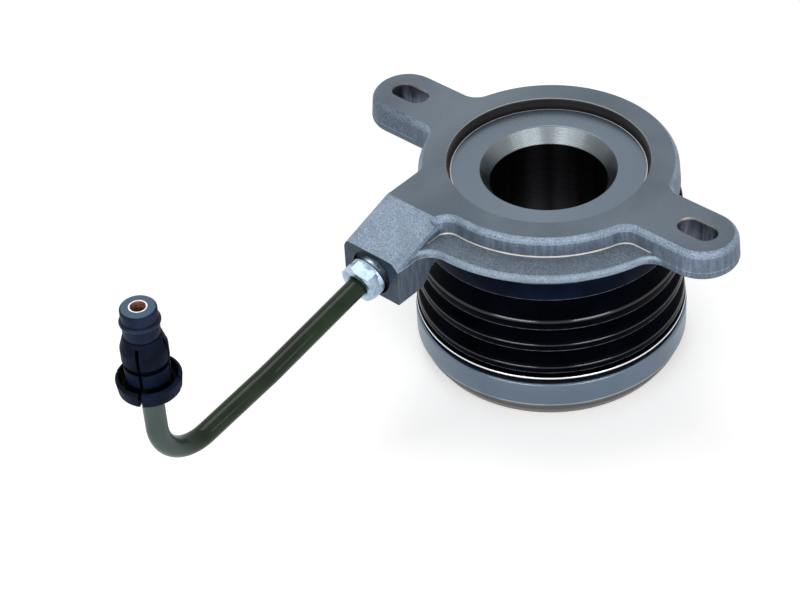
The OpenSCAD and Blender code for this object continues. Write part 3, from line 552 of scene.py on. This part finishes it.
def coated_pipe():
    """Olive coating with a clear gloss; the tip in the plug is bare steel around a copper brown bore."""
    f = Finish("coated_pipe", specular_ior_level=0.04, coat_weight=0.35, coat_roughness=0.05)
    cloud = f.noise(0.08, detail=3.0)
    peel = f.noise(1.2)
    # Painted reflection of the white surroundings: the upright run is lighter.
    reflected_upright = f.below(f.y, UPRIGHT_Y + 8, 6.0)
    tip = f.above(f.z, TIP_Z, 0.1)
    tip_tone = f.tint(peel, srgb(206, 210, 214), srgb(236, 238, 240))
    in_bore = f.below(f.distance(PLUG_AXIS, FROM_Z_LINE), PIPE_BORE_R + 0.05, 0.03)
    bore = f.both(in_bore, f.above(f.z, UPRIGHT_LOW, 1.0))
    bore_tone = f.tint(f.noise(0.8), srgb(126, 80, 62), srgb(176, 128, 108))
    colour = f.tint(cloud, srgb(15, 29, 13), srgb(27, 43, 24))
    colour = f.mix(f.both(reflected_upright, f.span(cloud, 0.2, 0.8, 0.55, 0.75)), colour, srgb(70, 85, 85))
    colour = f.mix(tip, colour, tip_tone)
    f.set("Base Color", f.mix(bore, colour, bore_tone))
    f.set("Metallic", f.both(tip, f.inverse(bore)))
    f.set("Roughness", f.vary(peel, 0.28, 0.38))
    f.set("Normal", f.bump(peel, depth=0.006))
    return f


def zinc_plate():
    """Bright zinc with a cloudy tone and faint flakes."""
    f = Finish("zinc_plate", metallic=0.9)
    flake = f.node("TexVoronoi", {"Vector": f.place, "Scale": 1.6}).outputs["Distance"]
    cloud = f.noise(0.5, detail=3.0)
    colour = f.tint(cloud, srgb(142, 164, 184), srgb(190, 208, 224))
    f.set("Base Color", f.mix(f.span(flake, 0.2, 0.6, 0.0, 0.3), colour, srgb(118, 140, 162)))
    f.set("Roughness", f.vary(cloud, 0.24, 0.4))
    f.set("Normal", f.bump(flake, depth=0.01))
    return f


def collet_plastic():
    """Dark moulded plastic, with painted shade, near black, in the groove and in the dish of the collar."""
    f = moulded("collet_plastic", srgb(4, 10, 22), srgb(13, 23, 43), roughness=0.5, specular_ior_level=0.04)
    off_axis = f.distance(PLUG_AXIS, FROM_Z_LINE)
    groove = f.both(f.band(f.z, *COLLET_GROOVE, 0.1), f.below(off_axis, COLLET_GROOVE_R + 0.8, 0.2))
    dish = f.both(f.band(off_axis, *COLLET_DISH, 0.15), f.below(f.z, COLLAR_RIM, 0.2))
    # Painted shade in the groove and the dish.
    f.set("Base Color", f.mix(f.either(groove, dish), f.colour, srgb(1, 2, 4)))
    return f


def plug_plastic():
    """Dark blue moulded plastic, with painted light making the level end that meets the socket paler."""
    f = moulded("plug_plastic", srgb(12, 22, 39), srgb(25, 37, 57), roughness=0.45, specular_ior_level=0.06)
    # Painted light: the upward-facing end is made paler.
    f.set("Base Color", f.mix(f.above(f.normal[2], PLUG_END_SLOPE, 0.08), f.colour, srgb(88, 108, 130)))
    return f


# Pieces made here

def piece(name, body, finish, mesh, replaced):
    made = bpy.data.objects.new(name, mesh)
    bpy.context.scene.collection.objects.link(made)
    made.data.materials.append(finish.material)
    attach(made, body)
    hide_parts(replaced)
    return made


def shade_round(mesh, sharp):
    """Shades a mesh as round, apart from the edges that turn by more than an angle in degrees."""
    for polygon in mesh.polygons:
        polygon.use_smooth = True
    mesh.set_sharp_from_angle(angle=math.radians(sharp))


def smooth_copy(node, body, finish):
    """A copy of a CAD node whose facets are welded and shaded as the round surfaces they stand for."""
    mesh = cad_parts[node].data.copy()
    mesh.name = node + "_skin"
    mesh.materials.clear()
    work = bmesh.new()
    work.from_mesh(mesh)
    bmesh.ops.remove_doubles(work, verts=work.verts, dist=WELD)
    work.to_mesh(mesh)
    work.free()
    mesh.normals_split_custom_set([(0, 0, 0)] * len(mesh.loops))
    shade_round(mesh, SPRING_SHARP)
    return piece(node + "_skin", body, finish, mesh, node)


def soften(corners):
    """Rounds an outline of (radius, height, corner radius, painted edge glint) into one of (radius, height,
    painted edge glint).
    """
    outline = []
    for k, (r, z, fillet, edge_glint) in enumerate(corners):
        here = Vector((r, z))
        before = Vector(corners[k - 1][:2]) - here
        after = Vector(corners[(k + 1) % len(corners)][:2]) - here
        half = before.angle(after) / 2
        reach = min(fillet / math.tan(half), ROUND_SHARE * before.length, ROUND_SHARE * after.length)
        middle = here + (before.normalized() + after.normalized()).normalized() * reach / math.cos(half)
        start = here + before.normalized() * reach - middle
        turn = start.angle_signed(here + after.normalized() * reach - middle)
        for j in range(ROUND_STEPS + 1):
            part = j / ROUND_STEPS
            spot = middle + Matrix.Rotation(-turn * part, 2) @ start
            outline.append((spot.x, spot.y, edge_glint * math.sin(math.pi * part)))
    return outline


def lathe(name, outline):
    """Closed ring turned from an outline of (radius, height, painted edge glint)."""
    mesh = bpy.data.meshes.new(name)
    points = []
    for k in range(BOOT_SEGMENTS):
        a = 2 * math.pi * k / BOOT_SEGMENTS
        points += [(r * math.cos(a) * MM, r * math.sin(a) * MM, z * MM) for r, z, _ in outline]
    count = len(outline)
    faces = []
    for k in range(BOOT_SEGMENTS):
        here = k * count
        after = (k + 1) % BOOT_SEGMENTS * count
        for j in range(count):
            i = (j + 1) % count
            faces.append((here + j, after + j, after + i, here + i))
    mesh.from_pydata(points, [], faces)
    work = bmesh.new()
    work.from_mesh(mesh)
    bmesh.ops.recalc_face_normals(work, faces=work.faces)
    work.to_mesh(mesh)
    work.free()
    edge_glints = mesh.attributes.new("edge_glint", "FLOAT", "POINT")
    edge_glints.data.foreach_set("value", [p[2] for p in outline] * BOOT_SEGMENTS)
    shade_round(mesh, BOOT_SHARP)
    return mesh


def boot_line(wall):
    """Corners of the bellows from its first valley down to its foot, moved in by a wall thickness."""
    corners = []
    # Painted glint lines go on the outer surface only.
    edge_glint = 0.0 if wall else 1.0
    for top, end, crest in zip((COLLAR_END,) + CREST_END, CREST_END, CREST_R):
        valley = top - VALLEY_DROP - wall / 2
        corners += [
            (VALLEY_R - wall, valley, LIP_ROUND, 0.0),
            (VALLEY_R - wall, valley - VALLEY_H, VALLEY_ROUND, 0.0),
            (crest - wall, end + CREST_H + wall / 4, CREST_ROUND, 0.0),
            (crest - wall, end + wall, LIP_ROUND, edge_glint),
        ]
    corners += [
        (FOOT_R - wall, CREST_END[-1] + 0.8 * wall, FOOT_ROUND, 0.0),
        (FOOT_R - wall, BOOT_END, FOOT_ROUND, 0.0),
    ]
    return corners


def shorten(made):
    """Gives a piece its own copy of its mesh."""
    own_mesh(made)


def dust_boot(finish):
    """The boot as two pieces: a collar that stays on the hub, and a bellows."""
    # The fourth number of a corner is its painted edge glint.
    collar = soften([
        (COLLAR_R, COLLAR_TOP, COLLAR_ROUND, 0.4),
        (COLLAR_R, COLLAR_END, LIP_ROUND, 1.0),
        (HUB_R, COLLAR_END, HUB_ROUND, 0.0),
        (HUB_R, COLLAR_TOP, HUB_ROUND, 0.0),
    ])
    piece("boot_collar", "housing", finish, lathe("boot_collar", collar), "dust_boot")
    top = [(COLLAR_R - BOOT_WALL, COLLAR_END, SEAM_ROUND, 0.0)]
    under = [(HUB_R, COLLAR_END, SEAM_ROUND, 0.0)]
    bellows = soften(top + boot_line(0) + boot_line(BOOT_WALL)[::-1] + under)
    mesh = lathe("boot_bellows", bellows)
    folds = piece("boot_bellows", "housing", finish, mesh, "dust_boot")
    shorten(folds)


# Camera, floor and light

def direction(turn, elevation):
    """Unit vector away from the part, at angles to the right of the camera and up, in degrees."""
    azimuth = math.radians(CAMERA_AZIMUTH - 90 + turn)
    rise = math.radians(elevation)
    return Vector((math.cos(azimuth) * math.cos(rise), math.sin(azimuth) * math.cos(rise), math.sin(rise)))


def place_camera(scene):
    """Camera at the photograph's viewing angle."""
    roll = math.radians(CAMERA_ROLL)
    back = direction(0, CAMERA_ELEVATION)
    level = direction(90, 0)
    upward = back.cross(level)
    right = level * math.cos(roll) + upward * math.sin(roll)
    up = upward * math.cos(roll) - level * math.sin(roll)
    lens = bpy.data.cameras.new("camera")
    lens.lens = LENS
    lens.sensor_width = SENSOR_WIDTH
    lens.sensor_fit = "HORIZONTAL"
    camera = bpy.data.objects.new("camera", lens)
    scene.collection.objects.link(camera)
    turn = Matrix((right, up, back)).transposed().to_4x4()
    camera.matrix_world = Matrix.Translation(Vector(CAMERA_AT) * MM) @ turn
    scene.camera = camera


def seen_share(tree):
    """1 for what the camera sees directly, in a reflection or through glass, 0 for light on the object."""
    path = tree.nodes.new("ShaderNodeLightPath")
    share = path.outputs["Is Camera Ray"]
    for name in ("Is Glossy Ray", "Is Transmission Ray"):
        either = tree.nodes.new("ShaderNodeMath")
        either.operation = "MAXIMUM"
        tree.links.new(share, either.inputs[0])
        tree.links.new(path.outputs[name], either.inputs[1])
        share = either.outputs[0]
    return share


def floor_paint():
    """Pale floor that keeps the shadow and is lifted to the background's white where it is seen."""
    f = Finish("floor_paint", specular_ior_level=0.0, roughness=1.0, emission_color=WHITE)
    f.set("Base Color", f.tint(f.noise(0.004), srgb(240, 240, 240), srgb(246, 246, 246)))
    f.set("Emission Strength", f.both(seen_share(f.tree), FLOOR_LIFT))
    return f


def lay_floor(scene):
    mesh = bpy.data.meshes.new("floor")
    low = cad_box[0][2] - FLOOR_GAP
    signs = ((-1, -1), (1, -1), (1, 1), (-1, 1))
    mesh.from_pydata([(x * FLOOR_HALF, y * FLOOR_HALF, low) for x, y in signs], [], [(0, 1, 2, 3)])
    mesh.materials.append(floor_paint().material)
    floor = bpy.data.objects.new("floor", mesh)
    scene.collection.objects.link(floor)


def light_world(scene):
    """Surroundings that are white where they are seen or reflected, and dimmer as light on the part."""
    world = bpy.data.worlds.new("studio")
    scene.world = world
    world.use_nodes = True
    tree = world.node_tree
    tree.nodes.clear()
    strength = tree.nodes.new("ShaderNodeMapRange")
    strength.inputs["To Min"].default_value = WORLD_LIGHT
    tree.links.new(seen_share(tree), strength.inputs["Value"])
    background = tree.nodes.new("ShaderNodeBackground")
    background.inputs["Color"].default_value = WHITE
    tree.links.new(strength.outputs["Result"], background.inputs["Strength"])
    output = tree.nodes.new("ShaderNodeOutputWorld")
    tree.links.new(background.outputs[0], output.inputs["Surface"])


def soft_box(scene, name, turn, elevation, distance, size, watts):
    """Lamp aimed at the part."""
    lamp = bpy.data.lights.new(name, "AREA")
    lamp.shape = "RECTANGLE"
    lamp.size, lamp.size_y = size
    lamp.energy = watts
    aim = direction(turn, elevation)
    holder = bpy.data.objects.new(name, lamp)
    facing = aim.to_track_quat("Z", "Y").to_matrix().to_4x4()
    holder.matrix_world = Matrix.Translation(aim * distance) @ facing
    scene.collection.objects.link(holder)


def stage_scene():
    scene = bpy.context.scene
    scene.view_settings.view_transform = "Standard"
    place_camera(scene)
    lay_floor(scene)
    light_world(scene)
    for box in SOFT_BOXES:
        soft_box(scene, *box)


stage_scene()

# Finishes of the CAD nodes
dress(casting(), "housing")
dress(turned_sleeve(), "guide_sleeve")
dress(bright_ring(), "boot_retaining_ring")
dress(ground_ring(), "bearing_outer_ring")
dress(lathe_steel("release_steel", srgb(84, 82, 79), srgb(106, 104, 101), roughness=0.38), "release_ring")
dress(lathe_steel("piston_alloy", srgb(150, 148, 142), srgb(176, 173, 166), roughness=0.3), "piston")
pressed_steel = plain_steel("pressed_steel", srgb(22, 23, 26), srgb(36, 38, 42), roughness=0.4)
dress(pressed_steel, "bearing_carrier", "spring_seat")
spring_steel = plain_steel("spring_steel", srgb(60, 62, 66), srgb(88, 90, 94), roughness=0.32)
dress(spring_steel, "stop_ring", "carrier_clip", "preload_spring")
dress(plain_steel("ball_steel", srgb(200, 202, 204), srgb(222, 223, 224), roughness=0.12), "bearing_balls")
dress(moulded("cage_plastic", srgb(196, 186, 150), srgb(214, 205, 172), roughness=0.45), "bearing_cage")
dress(moulded("band_plastic", srgb(92, 62, 42), srgb(112, 78, 54), roughness=0.4), "guide_band")
seal_rubber = moulded("seal_rubber", srgb(8, 10, 15), srgb(16, 20, 28), roughness=0.35, **RUBBER_GLEAM)
dress(seal_rubber, "sleeve_o_ring", "piston_seal", "bearing_seal")
plug_rubber = moulded("plug_rubber", srgb(20, 28, 46), srgb(30, 41, 64), roughness=0.3, **RUBBER_GLEAM)
dress(plug_rubber, "connector_o_ring")
dress(zinc_plate(), "tube_nut")
dress(coated_pipe(), "fluid_pipe")
dress(plug_plastic(), "connector_nose")
dress(collet_plastic(), "connector_collet")
boot_finish = boot_rubber()
dress(boot_finish, "dust_boot")

# Soft pieces that stand for CAD nodes
dust_boot(boot_finish)
spring = smooth_copy("preload_spring", "housing", spring_steel)
shorten(spring)
